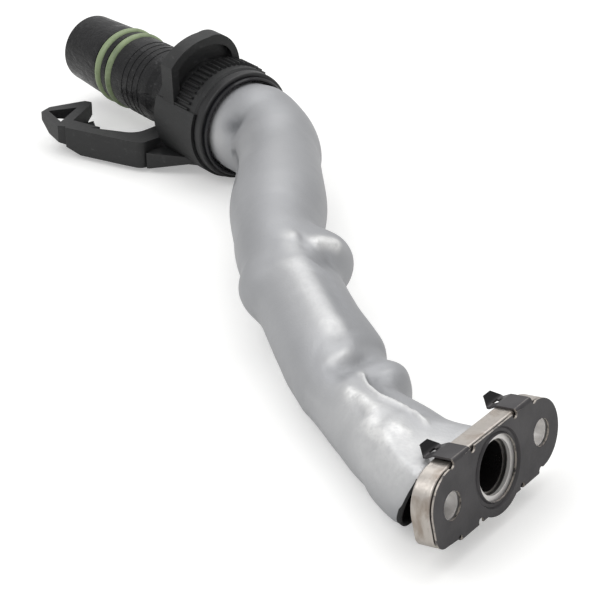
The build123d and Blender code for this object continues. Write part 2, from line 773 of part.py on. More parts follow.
    # Thumb ear: a shield standing up across the axis, dished on the flange side
    with BuildSketch(plug_plane.offset(EAR_FROM)):
        with BuildLine():
            Spline(
                (-EAR_RIGHT, EAR_TOP * 0.5),
                (-EAR_RIGHT + 1.6, EAR_TOP * 0.82),
                (-EAR_RIGHT * 0.3, EAR_TOP * 0.98),
                (EAR_PEAK, EAR_TOP),
            )
            Spline((EAR_PEAK, EAR_TOP), (EAR_LEFT * 0.69, EAR_TOP * 0.9), (EAR_LEFT, EAR_TOP * 0.72))
            Polyline(
                (EAR_LEFT, EAR_TOP * 0.72),
                (EAR_LEFT - 0.5, EAR_TOP * 0.23),
                (EAR_LEFT * 0.46, EAR_TOP * 0.08),
                (-EAR_RIGHT, EAR_TOP * 0.5),
            )
        make_face()
        Circle(collar_bore + 0.5, mode=Mode.SUBTRACT)
    extrude(amount=EAR_T)
    with BuildSketch(plug_plane.offset(EAR_FROM)):
        with BuildLine():
            Spline(
                (-EAR_RIGHT + EAR_RIM, EAR_TOP * 0.62),
                (-EAR_RIGHT + EAR_RIM + 1.2, EAR_TOP * 0.79),
                (-EAR_RIM * 0.5, EAR_TOP - EAR_RIM - 0.6),
                (EAR_PEAK, EAR_TOP - EAR_RIM),
            )
            Spline(
                (EAR_PEAK, EAR_TOP - EAR_RIM),
                (EAR_LEFT * 0.6, EAR_TOP * 0.82),
                (EAR_LEFT - EAR_RIM, EAR_TOP * 0.67),
            )
            Polyline(
                (EAR_LEFT - EAR_RIM, EAR_TOP * 0.67),
                (EAR_LEFT - EAR_RIM - 0.4, EAR_TOP * 0.2),
                (-EAR_RIGHT + EAR_RIM, EAR_TOP * 0.2),
                (-EAR_RIGHT + EAR_RIM, EAR_TOP * 0.62),
            )
        make_face()
        Circle(TOOTH_BED_R + 0.25, mode=Mode.SUBTRACT)
    extrude(amount=EAR_RECESS, mode=Mode.SUBTRACT)
    # Clear the bore again and the space the plug stands in
    with BuildSketch(plug_plane.offset(COLLAR_FROM)):
        Circle(collar_bore)
    extrude(amount=COLLAR_TO - COLLAR_FROM, mode=Mode.SUBTRACT)
    with BuildSketch(plug_plane.offset(COLLAR_TO)):
        Circle(PLUG_R + 0.9)
    extrude(amount=ARM_ROOT_L * 2, mode=Mode.SUBTRACT)

lock_collar.part.label = "lock_collar"
export_step(lock_collar.part, "parts/lock_collar.step")


# Retaining ring in front of the collar
with BuildPart() as retaining_ring:
    with BuildSketch(plug_side) as ring_sketch:
        with BuildLine():
            Polyline(
                (SHOULDER_R + 0.1, LIP_SEAT),
                (LIP_OUT_R, LIP_SEAT),
                (LIP_OUT_R, RING_FROM),
                (RING_OUT_R, RING_FROM),
                (RING_OUT_R, RING_TO),
                (SHOULDER_R + 0.1, RING_TO),
                close=True,
            )
        make_face()
        fillet(ring_sketch.vertices().sort_by(Axis.X)[-2:], radius=RING_EDGE_R)
    revolve(axis=plug_axis)

retaining_ring.part.label = "retaining_ring"
export_step(retaining_ring.part, "parts/retaining_ring.step")


# Soft lip ring between the retaining ring and the sleeve
lip_out = LIP_OUT_R - LIP_GAP
lip_round = 0.5
with BuildPart() as lip_ring:
    with BuildSketch(plug_side):
        with BuildLine():
            Polyline(
                (LIP_IN_R, LIP_SEAT - 0.1),
                (LIP_IN_R, LIP_FROM + lip_round),
                (LIP_IN_R + 0.4, LIP_FROM),
                (lip_out - 0.4, LIP_FROM),
                (lip_out, LIP_FROM + lip_round),
                (lip_out, LIP_SEAT - 0.1),
                close=True,
            )
        make_face()
    revolve(axis=plug_axis)

lip_ring.part.label = "lip_ring"
export_step(lip_ring.part, "parts/lip_ring.step")
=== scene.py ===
"""Dresses the turbo oil line: a flanged steel stub, a sleeved hose and a plastic push-in connector.

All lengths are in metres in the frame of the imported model: +Z is up as the line lies on a level
floor, and the origin is the centre of the flange port on the sealing face of the gasket.
"""

from __future__ import annotations

import logging
import math
import random
from dataclasses import dataclass, field
from enum import Enum
from typing import Any, Callable, Mapping, Sequence, Union

import bpy
import numpy as np
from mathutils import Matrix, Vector


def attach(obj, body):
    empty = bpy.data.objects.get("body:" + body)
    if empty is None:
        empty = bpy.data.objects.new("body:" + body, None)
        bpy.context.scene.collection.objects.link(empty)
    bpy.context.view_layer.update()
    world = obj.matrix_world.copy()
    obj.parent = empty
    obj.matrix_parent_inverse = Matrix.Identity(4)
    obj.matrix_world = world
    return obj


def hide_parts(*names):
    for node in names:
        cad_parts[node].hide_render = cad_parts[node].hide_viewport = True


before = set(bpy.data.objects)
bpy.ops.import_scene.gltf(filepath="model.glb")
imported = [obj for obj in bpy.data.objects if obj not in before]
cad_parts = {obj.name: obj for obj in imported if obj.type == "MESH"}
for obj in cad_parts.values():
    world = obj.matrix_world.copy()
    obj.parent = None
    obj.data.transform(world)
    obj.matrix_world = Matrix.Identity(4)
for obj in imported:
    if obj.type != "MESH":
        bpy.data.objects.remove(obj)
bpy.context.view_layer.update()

MM = 0.001
BODY = "root"
# Name of the sleeve's point attribute that holds its painted light and shade.
PAINTED_LIGHT_ATTRIBUTE = "wear_and_painted_light"
EVEN = Vector((1.0, 1.0, 1.0))
log = logging.getLogger("oil_line")

FACE_TURN = math.radians(37.0)
FACE_LEAN = math.radians(10.0)
FACE_WAY = Vector(
    (math.cos(FACE_TURN) * math.cos(FACE_LEAN), -math.sin(FACE_TURN) * math.cos(FACE_LEAN), math.sin(FACE_LEAN))
)
FLANGE_LONG = Vector((math.sin(FACE_TURN), math.cos(FACE_TURN), 0.0))
PLUG_TURN = math.radians(52.0)
PLUG_WAY = Vector((-math.cos(PLUG_TURN), math.sin(PLUG_TURN), 0.0))
PLUG_BASE = Vector((-63.4, 192.4, 3.5)) * MM


# Shader graphs


class Signal:
    """One output of a shader graph, with Python's operators on it."""

    def __init__(self, graph: Graph, socket: bpy.types.NodeSocket) -> None:
        """Keeps the graph and the socket."""
        self.graph = graph
        self.socket = socket

    def _maths(self, operation: str, *values: Value) -> Signal:
        """Adds one Math node and returns its result."""
        return self.graph.node("ShaderNodeMath", {"operation": operation}, dict(enumerate(values)))

    def __add__(self, other: Value) -> Signal:
        """self + other."""
        return self._maths("ADD", self, other)

    __radd__ = __add__

    def __sub__(self, other: Value) -> Signal:
        """self - other."""
        return self._maths("SUBTRACT", self, other)

    def __rsub__(self, other: Value) -> Signal:
        """other - self."""
        return self._maths("SUBTRACT", other, self)

    def __mul__(self, other: Value) -> Signal:
        """self * other."""
        return self._maths("MULTIPLY", self, other)

    __rmul__ = __mul__

    def __abs__(self) -> Signal:
        """abs(self)."""
        return self._maths("ABSOLUTE", self)

    def step(self, low: float, high: float) -> Signal:
        """Smooth step from 0 at low to 1 at high, or the other way round when high is the lower.

        Args:
            low: value that gives 0.
            high: value that gives 1.

        Returns:
            A signal between 0 and 1.
        """
        settings = {"interpolation_type": "SMOOTHSTEP"}
        if low < high:
            return self.graph.node("ShaderNodeMapRange", settings, {0: self, 1: low, 2: high, 3: 0.0, 4: 1.0})
        return self.graph.node("ShaderNodeMapRange", settings, {0: self, 1: high, 2: low, 3: 1.0, 4: 0.0})

    def clamp(self) -> Signal:
        """The signal kept between 0 and 1."""
        return self.graph.node("ShaderNodeClamp", {}, {0: self})


Value = Union[Signal, float]
Colour = tuple[float, float, float]


class Graph:
    """A node tree whose nodes all come from one method."""

    def __init__(self, tree: bpy.types.NodeTree) -> None:
        """Keeps the tree and empties it."""
        self.tree = tree
        tree.nodes.clear()

    def node(
        self,
        kind: str,
        settings: Mapping[str, Any] | None = None,
        inputs: Mapping[Union[int, str], Any] | None = None,
        result: Union[int, str] = 0,
    ) -> Signal:
        """Adds a node, sets it up and links or fills its sockets.

        Args:
            kind: Blender's type name of the node.
            settings: attributes, set before the sockets.
            inputs: socket index or name to a value or a signal.
            result: output socket to return.

        Returns:
            The chosen output as a signal.
        """
        made = self.tree.nodes.new(kind)
        for key, value in (settings or {}).items():
            setattr(made, key, value)
        for key, value in (inputs or {}).items():
            if isinstance(value, Signal):
                self.tree.links.new(value.socket, made.inputs[key])
            elif value is not None:
                made.inputs[key].default_value = value
        return Signal(self, made.outputs[result])

    def vector_maths(self, operation: str, *values: Any, result: Union[int, str] = 0) -> Signal:
        """Adds one Vector Math node and returns its result."""
        return self.node("ShaderNodeVectorMath", {"operation": operation}, dict(enumerate(values)), result)

    def end(self, kind: str, shader: Signal) -> None:
        """Ends the graph in its output node."""
        self.tree.links.new(shader.socket, self.tree.nodes.new(kind).inputs[0])


class Surface(Graph):
    """A material's node graph with one principled shader."""

    def __init__(self, name: str) -> None:
        """Makes a material that holds only its principled shader.

        Args:
            name: name of the material.
        """
        self.material = bpy.data.materials.new(name)
        self.material.use_nodes = True
        super().__init__(self.material.node_tree)
        self.shader = self.tree.nodes.new("ShaderNodeBsdfPrincipled")
        self.end("ShaderNodeOutputMaterial", Signal(self, self.shader.outputs[0]))

    def place(self) -> Signal:
        """Position in the part's own frame, in metres."""
        return self.node("ShaderNodeTexCoord", result="Object")

    def normal(self) -> Signal:
        """Surface normal of the mesh."""
        return self.node("ShaderNodeNewGeometry", result="Normal")

    def along(self, vector: Signal, way: Vector) -> Signal:
        """Distance of a place from the origin along a unit direction, or a direction's share of it."""
        return self.vector_maths("DOT_PRODUCT", vector, tuple(way), result="Value")

    def around(self, vector: Signal, way: Vector, origin: Vector = Vector((0, 0, 0))) -> Signal:
        """Distance of a place from an axis.

        Args:
            vector: the place.
            way: unit direction of the axis.
            origin: point on the axis.

        Returns:
            The distance as a signal.
        """
        moved = self.vector_maths("SUBTRACT", vector, tuple(origin))
        across = self.vector_maths("CROSS_PRODUCT", moved, tuple(way))
        return self.vector_maths("LENGTH", across, result="Value")

    def noise(
        self, size: float, detail: float = 2.0, rough: float = 0.5, warp: float = 0.0, stretch: Vector = EVEN
    ) -> Signal:
        """Fractal noise about 0.5 over the surface.

        Args:
            size: size of its largest marks, in metres.
            detail: how many finer layers it has.
            rough: strength of the finer layers.
            warp: distortion.
            stretch: scale of the place along each axis, for streaks.

        Returns:
            The noise's value.
        """
        scaled = self.vector_maths("MULTIPLY", self.place(), tuple(stretch))
        return self.node(
            "ShaderNodeTexNoise",
            {},
            {"Vector": scaled, "Scale": 1.0 / size, "Detail": detail, "Roughness": rough, "Distortion": warp},
        )

    def mix(self, factor: Value, low: Union[Signal, Colour], high: Union[Signal, Colour]) -> Signal:
        """Colour between two colours.

        Args:
            factor: 0 for the first colour, 1 for the second.
            low: first colour.
            high: second colour.

        Returns:
            The mixed colour.
        """
        ends = [c if isinstance(c, Signal) else (*c, 1.0) for c in (low, high)]
        return self.node("ShaderNodeMix", {"data_type": "RGBA"}, {0: factor, 6: ends[0], 7: ends[1]}, result=2)

    def bump(self, height: Signal, depth: float, under: Signal | None = None) -> Signal:
        """Normal bent by a height.

        Args:
            height: height between 0 and 1.
            depth: real depth of a height of 1, in metres.
            under: normal to start from.

        Returns:
            The bent normal.
        """
        return self.node("ShaderNodeBump", {}, {"Height": height, "Distance": depth, "Normal": under})

    def finish(self, **sockets: Any) -> bpy.types.Material:
        """Sets the principled shader's sockets.

        Args:
            **sockets: socket name with underscores for spaces, to a constant or a signal.

        Returns:
            The finished material.
        """
        for name, value in sockets.items():
            socket = self.shader.inputs[name.replace("_", " ")]
            if isinstance(value, Signal):
                self.tree.links.new(value.socket, socket)
            else:
                socket.default_value = value
        return self.material


# Finishes


@dataclass(frozen=True)
class FoilCloth:
    """Satin aluminised glass cloth of the heat sleeve, with painted highlights on its crests and patches and painted
    shade in its furrows. Lengths in metres.
    """

    name: str = "foil_cloth"
    base: Colour = (0.425, 0.43, 0.445)
    # Colour of the painted highlights on the sleeve's crests and patches.
    painted_highlight: Colour = (0.86, 0.86, 0.855)
    # Colour of the painted shade in the furrows, also used for the random grime clouds.
    shade_and_grime: Colour = (0.16, 0.165, 0.175)
    rough: float = 0.50
    rough_swing: float = 0.16
    metal: float = 0.5
    cloud_size: float = 0.022
    cloud_grime: float = 0.12
    cloud_height: float = 0.3
    blot_size: float = 0.0035
    blot_gain: float = 0.8
    blot_height: float = 0.12
    fine_size: float = 0.0016
    fine_gain: float = 1.3
    fine_depth: float = 0.00007
    weave_size: float = 0.0007
    weave_depth: float = 0.00004
    dent_depth: float = 0.0014

    def material(self) -> bpy.types.Material:
        """The sleeve's material: soft sheen, faint weave, painted highlights on the crests, painted shade in the
        furrows, and small dents.

        Returns:
            The material.
        """
        g = Surface(self.name)
        cloud = g.noise(self.cloud_size, 3.0, 0.5)
        blot = g.noise(self.blot_size, 3.0, 0.55, 0.5)
        fine = g.noise(self.fine_size, 3.0, 0.6)
        weave = g.noise(self.weave_size, 1.0)
        # Painted light: positive values are painted highlight, negative values are painted shade.
        wear_and_painted_light = g.node("ShaderNodeAttribute", {"attribute_name": PAINTED_LIGHT_ATTRIBUTE}, result="Fac")
        painted_bright = wear_and_painted_light.clamp()
        even = 1.0 - self.blot_gain / 2
        ragged = wear_and_painted_light * (even + blot * self.blot_gain) + painted_bright * painted_bright * (fine - 0.5) * self.fine_gain
        # Mottled painted highlight towards the bright colour, painted shade towards the dark one.
        colour = g.mix(ragged.clamp(), self.base, self.painted_highlight)
        colour = g.mix((ragged * -1.0).clamp(), colour, self.shade_and_grime)
        colour = g.mix(cloud.step(0.35, 0.7) * self.cloud_grime, colour, self.shade_and_grime)
        normal = g.bump(cloud * self.cloud_height + blot * painted_bright * self.blot_height, self.dent_depth)
        normal = g.bump(fine, self.fine_depth, normal)
        normal = g.bump(weave, self.weave_depth, normal)
        rough = self.rough + (blot - 0.5) * self.rough_swing
        return g.finish(Base_Color=colour, Metallic=self.metal, Roughness=rough, Normal=normal)


@dataclass(frozen=True)
class BlackPlastic:
    """Black glass-filled plastic, or black rubber, with moulding streaks and scuffs. Lengths in metres."""

    name: str
    base: Colour = (0.012, 0.0125, 0.013)
    scuff: Colour = (0.05, 0.05, 0.05)
    rough: float = 0.42
    grain: float = 0.00004
    streaky: float = 0.0
    shine: float = 0.5
    rough_swing: float = 0.18
    scuff_rough: float = 0.15
    streak_size: float = 0.006
    streak_way: Vector = Vector((1.0, 1.0, 3.0))
    streak_depth: float = 0.00012
    streaky_depth: float = 0.0006
    speck_size: float = 0.0012
    grain_size: float = 0.0004

    def material(self) -> bpy.types.Material:
        """The material of one moulding.

        Returns:
            The material.
        """
        g = Surface(self.name)
        streaks = g.noise(self.streak_size, 4.0, 0.6, 0.3, self.streak_way)
        specks = g.noise(self.speck_size, 3.0, 0.65)
        grain = g.noise(self.grain_size)
        wear_and_painted_light = (streaks.step(0.5, 0.75) * specks.step(0.45, 0.7)).clamp()
        rough = self.rough + (specks - 0.5) * self.rough_swing + wear_and_painted_light * self.scuff_rough
        rough = rough + (streaks - 0.5) * self.streaky
        normal = g.bump(streaks, self.streak_depth + self.streaky_depth * self.streaky)
        normal = g.bump(grain, self.grain, normal)
        colour = g.mix(wear_and_painted_light, self.base, self.scuff)
        return g.finish(Base_Color=colour, Roughness=rough, Normal=normal, Specular_IOR_Level=self.shine)


@dataclass(frozen=True)
class RingRubber:
    """Pale green rubber of the O-rings, with a film of oil dust. Lengths in metres."""

    name: str = "ring_rubber"
    base: Colour = (0.27, 0.34, 0.185)
    dark: Colour = (0.17, 0.22, 0.12)
    rough: float = 0.38
    rough_swing: float = 0.2
    cloud_size: float = 0.006
    fine_size: float = 0.0008
    fine_depth: float = 0.00003

    def material(self) -> bpy.types.Material:
        """The O-rings' material.

        Returns:
            The material.
        """
        g = Surface(self.name)
        cloud = g.noise(self.cloud_size, 3.0, 0.6)
        fine = g.noise(self.fine_size)
        return g.finish(
            Base_Color=g.mix(cloud.step(0.4, 0.7), self.base, self.dark),
            Roughness=self.rough + (cloud - 0.5) * self.rough_swing,
            Normal=g.bump(fine, self.fine_depth),
        )


@dataclass(frozen=True)
class SheetSteel:
    """Dark coated spring-steel sheet with bright cut edges. Lengths in metres."""

    name: str
    base: Colour = (0.064, 0.061, 0.064)
    pale: Colour = (0.092, 0.088, 0.091)
    edge: Colour = (0.48, 0.44, 0.40)
    shaded: Colour = (0.012, 0.012, 0.013)
    face_only: bool = True
    rough: float = 0.42
    rough_swing: float = 0.2
    metal: float = 0.7
    edge_back: tuple[float, float] = (-0.0009, -0.00055)
    tips_back: tuple[float, float] = (-0.0078, -0.0088)
    cloud_size: float = 0.012
    fine_size: float = 0.0015
    fine_depth: float = 0.00004

    def material(self) -> bpy.types.Material:
        """The gasket's or clamp's material.

        Returns:
            The material.
        """
        g = Surface(self.name)
        cloud = g.noise(self.cloud_size, 3.0, 0.6)
        fine = g.noise(self.fine_size, 3.0, 0.65)
        colour = g.mix(cloud.step(0.35, 0.7), self.base, self.pale)
        if self.face_only:
            depth = g.along(g.place(), FACE_WAY)
            facing = abs(g.along(g.normal(), FACE_WAY))
            cut = facing.step(0.45, 0.2) * depth.step(*self.edge_back)
            colour = g.mix(cut * fine.step(0.3, 0.55), colour, self.edge)
            colour = g.mix(depth.step(*self.tips_back), colour, self.shaded)
        rough = self.rough + (fine - 0.5) * self.rough_swing
        normal = g.bump(fine, self.fine_depth)
        return g.finish(Base_Color=colour, Metallic=self.metal, Roughness=rough, Normal=normal)


@dataclass(frozen=True)
class MachinedSteel:
    """Warm pale steel with tool marks, handling stains and a little rust bloom. Lengths in metres."""

    name: str
    base: Colour = (0.56, 0.52, 0.48)
    stain: Colour = (0.34, 0.28, 0.23)
    rough: float = 0.34
    # Pale colour of the turned face round the port, with a painted highlight there and on the bolt-hole walls.
    turned_and_highlight: Colour = (0.86, 0.84, 0.82)
    # Near-black colour down the bore: painted shade.
    bore_shade: Colour = (0.010, 0.009, 0.009)
    turned_r: float = 0.0
    bore_shade_r: float = 0.0
    bore_shade_from: float = 0.0017
    holes: tuple[float, ...] = ()
    hole_r: float = 0.0042
    metal: float = 0.9
    turned_and_highlight_metal: float = 0.4
    blend: float = 0.0003
    cloud_size: float = 0.007
    cloud_swing: float = 0.2
    stain_rough: float = 0.1
    fine_size: float = 0.0012
    fine_depth: float = 0.00003
    mark_size: float = 0.0016
    mark_way: Vector = Vector((1.0, 1.0, 0.35))
    mark_depth: float = 0.00008

    def material(self) -> bpy.types.Material:
        """The flange's, stub's or braze's material: pale on the turned face round the port, partly a painted
        highlight, pale on the bolt-hole walls as a painted highlight, and black down the port as painted shade.

        Returns:
            The material.
        """
        g = Surface(self.name)
        cloud = g.noise(self.cloud_size, 4.0, 0.6, 0.5)
        fine = g.noise(self.fine_size, 3.0, 0.7)
        marks = g.noise(self.mark_size, stretch=self.mark_way)
        stained = (cloud.step(0.5, 0.72) * 0.8 + fine.step(0.6, 0.8) * 0.3).clamp()
        colour = g.mix(stained, self.base, self.stain)
        metal: Value = self.metal
        place = g.place()
        port = g.around(place, FACE_WAY)
        # Pale turned face round the port, partly painted highlight; the pale bolt-hole walls are a painted
        # highlight.
        if self.turned_r:
            bright = port.step(self.turned_r + self.blend, self.turned_r)
            for hole in self.holes:
                wall = g.around(place, FACE_WAY, FLANGE_LONG * hole)
                bright = bright + wall.step(self.hole_r + self.blend * 2 / 3, self.hole_r)
            bright = bright.clamp()
            colour = g.mix(bright, colour, self.turned_and_highlight)
            metal = self.metal - bright * (self.metal - self.turned_and_highlight_metal)
        # Painted shade: black down the bore of the port, from a little behind the face.
        if self.bore_shade_r:
            bore_shade_mask = port.step(self.bore_shade_r + self.blend / 2, self.bore_shade_r)
            bore_shade_mask = bore_shade_mask * g.along(place, FACE_WAY).step(-self.bore_shade_from, -self.bore_shade_from - self.blend)
            colour = g.mix(bore_shade_mask, colour, self.bore_shade)
            metal = (1.0 - bore_shade_mask) * metal
        rough = self.rough + (cloud - 0.5) * self.cloud_swing + stained * self.stain_rough
        normal = g.bump(marks, self.mark_depth)
        normal = g.bump(fine, self.fine_depth, normal)
        return g.finish(Base_Color=colour, Metallic=metal, Roughness=rough, Normal=normal)


# Shapes


@dataclass
class Route:
    """Line of straight runs and tangent arcs that the hose and the sleeve follow."""

    corners: Sequence[Vector]
    radii: Sequence[float]

    def __post_init__(self) -> None:
        """Works out the runs and arcs."""
        self.parts: list[tuple[float, Callable[[float], tuple[Vector, Vector]]]] = []
        self.length = 0.0
        here = self.corners[0]
        for index, radius in enumerate(self.radii, start=1):
            corner = self.corners[index]
            into = (corner - self.corners[index - 1]).normalized()
            out = (self.corners[index + 1] - corner).normalized()
            bend = into.angle(out)
            back = radius * math.tan(bend / 2)
            start = corner - into * back
            self._run(here, start)
            self._arc(start, into, out, radius, bend)
            here = corner + out * back
        self._run(here, self.corners[-1])

    def _add(self, size: float, place: Callable[[float], tuple[Vector, Vector]]) -> None:
        """Adds one run or arc to the line."""
        self.parts.append((size, place))
        self.length += size

    def _run(self, start: Vector, stop: Vector) -> None:
        """Adds a straight run."""
        way = (stop - start).normalized()
        self._add((stop - start).length, lambda d: (start + way * d, way))

    def _arc(self, start: Vector, into: Vector, out: Vector, radius: float, bend: float) -> None:
        """Adds a tangent arc.

        Args:
            start: where it starts.
            into: heading at its start.
            out: heading at its end.
            radius: its radius.
            bend: angle that it turns through.
        """
        side = (out - into * into.dot(out)).normalized()

        def place(d: float) -> tuple[Vector, Vector]:
            """Point and heading on the arc.

            Args:
                d: distance along the arc.

            Returns:
                The point and the unit heading.
            """
            a = d / radius
            point = start + into * (radius * math.sin(a)) + side * (radius * (1 - math.cos(a)))
            return point, into * math.cos(a) + side * math.sin(a)

        self._add(radius * bend, place)

    def at(self, distance: float) -> tuple[Vector, Vector]:
        """Point and heading at a distance from the start.

        Args:
            distance: distance along the line, in metres.

        Returns:
            The point and the unit heading.
        """
        for size, place in self.parts[:-1]:
            if distance <= size:
                return place(max(distance, 0.0))
            distance -= size
        return self.parts[-1][1](distance)


def smooth(share: np.ndarray) -> np.ndarray:
    """Smooth step from 0 to 1."""
    share = np.clip(share, 0.0, 1.0)
    return share * share * (3 - 2 * share)


class Layer(Enum):
    """Material slots of the sleeve's mesh."""

    COVER = 0
    LINING_AND_SHADE = 1


@dataclass(frozen=True)
class Fold:
    """One rounded rise of the sleeve, at a distance along the route and an angle round it."""

    at: float
    faces: float
    rise: float
    half_length: float
    half_spread: float
    power: float = 2.6

    def lift(self, distance: np.ndarray, angle: np.ndarray) -> np.ndarray:
        """Rise over the sleeve, in millimetres.

        Args:
            distance: distances along the route.
            angle: angles round the sleeve, in degrees.

        Returns:
            The rise at each place.
        """
        away = (angle - self.faces + 180.0) % 360.0 - 180.0
        along = np.abs((distance - self.at) / self.half_length) ** self.power
        around = np.abs(away / self.half_spread) ** self.power
        return self.rise * np.exp(-along - around)


@dataclass(frozen=True)
class Crease:
    """A ridge, or a furrow with a negative rise, through places given as distance and angle."""

    through: tuple[tuple[float, float], ...]
    rise: float
    half_width: float
    sharp: float = 2.0
    fade: float = 3.0
    round_r: float = 12.5

    def lift(self, distance: np.ndarray, angle: np.ndarray) -> np.ndarray:
        """Rise over the sleeve, in millimetres.

        Args:
            distance: distances along the route.
            angle: angles round the sleeve, in degrees.

        Returns:
            The rise at each place.
        """
        middle = self.through[len(self.through) // 2][1]
        side = np.radians((angle - middle + 180.0) % 360.0 - 180.0) * self.round_r
        near = np.full(np.broadcast(distance, angle).shape, 1e3)
        run = np.zeros(near.shape)
        total = 0.0
        for (d0, a0), (d1, a1) in zip(self.through, self.through[1:]):
            s0 = math.radians(a0 - middle) * self.round_r
            s1 = math.radians(a1 - middle) * self.round_r
            length = math.hypot(d1 - d0, s1 - s0)
            share = ((distance - d0) * (d1 - d0) + (side - s0) * (s1 - s0)) / length**2
            share = np.clip(share, 0.0, 1.0)
            gap = np.hypot(distance - d0 - share * (d1 - d0), side - s0 - share * (s1 - s0))
            run = np.where(gap < near, total + share * length, run)
            near = np.minimum(near, gap)
            total += length
        ends = smooth(0.25 + np.minimum(run, total - run) / self.fade)
        return self.rise * ends * np.exp(-((near / self.half_width) ** self.sharp))


@dataclass(frozen=True)
class Crumple:
    """Seeded small dents and short creases over a stretch of the sleeve."""

    seed: int
    start: float
    stop: float
    dents: int
    creases: int
    depth: float

    def marks(self) -> list[Union[Fold, Crease]]:
        """The dents and creases, the same ones every time.

        Returns:
            The marks, in the order in which they were drawn.
        """
        draw = random.Random(self.seed)
        made: list[Union[Fold, Crease]] = []
        for _ in range(self.dents):
            made.append(
                Fold(
                    draw.uniform(self.start, self.stop),
                    draw.uniform(0.0, 360.0),
                    self.depth * draw.uniform(-1.0, 0.6),
                    draw.uniform(2.0, 7.0),
                    draw.uniform(9.0, 26.0),
                    2.0,
                )
            )
        for _ in range(self.creases):
            at = draw.uniform(self.start, self.stop)
            faces = draw.uniform(0.0, 360.0)
            reach = draw.uniform(4.0, 12.0)
            lean = draw.uniform(-60.0, 60.0)
            ends = ((at, faces), (at + reach, faces + lean))
            made.append(Crease(ends, self.depth * draw.uniform(-0.8, 0.8), draw.uniform(0.8, 1.6), 1.5))
        return made


def mesh_piece(
    name: str, points: np.ndarray, faces: Sequence[Sequence[int]], material: bpy.types.Material
) -> bpy.types.Object:
    """Makes a smooth mesh object.

    Args:
        name: piece name.
        points: corner positions, in metres.
        faces: corner indices of each face.
        material: its finish.

    Returns:
        The object, linked to the scene.
    """
    mesh = bpy.data.meshes.new(name)
    mesh.from_pydata(points.tolist(), [], [tuple(f) for f in faces])
    mesh.validate()
    mesh.shade_smooth()
    mesh.materials.append(material)
    made = bpy.data.objects.new(name, mesh)
    bpy.context.collection.objects.link(made)
    return made


def dress(node: str, material: bpy.types.Material) -> None:
    """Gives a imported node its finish.

    Args:
        node: the node's name.
        material: its finish.
    """
    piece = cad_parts[node]
    piece.data.materials.clear()
    piece.data.materials.append(material)
    log.info("%s wears %s", node, material.name)


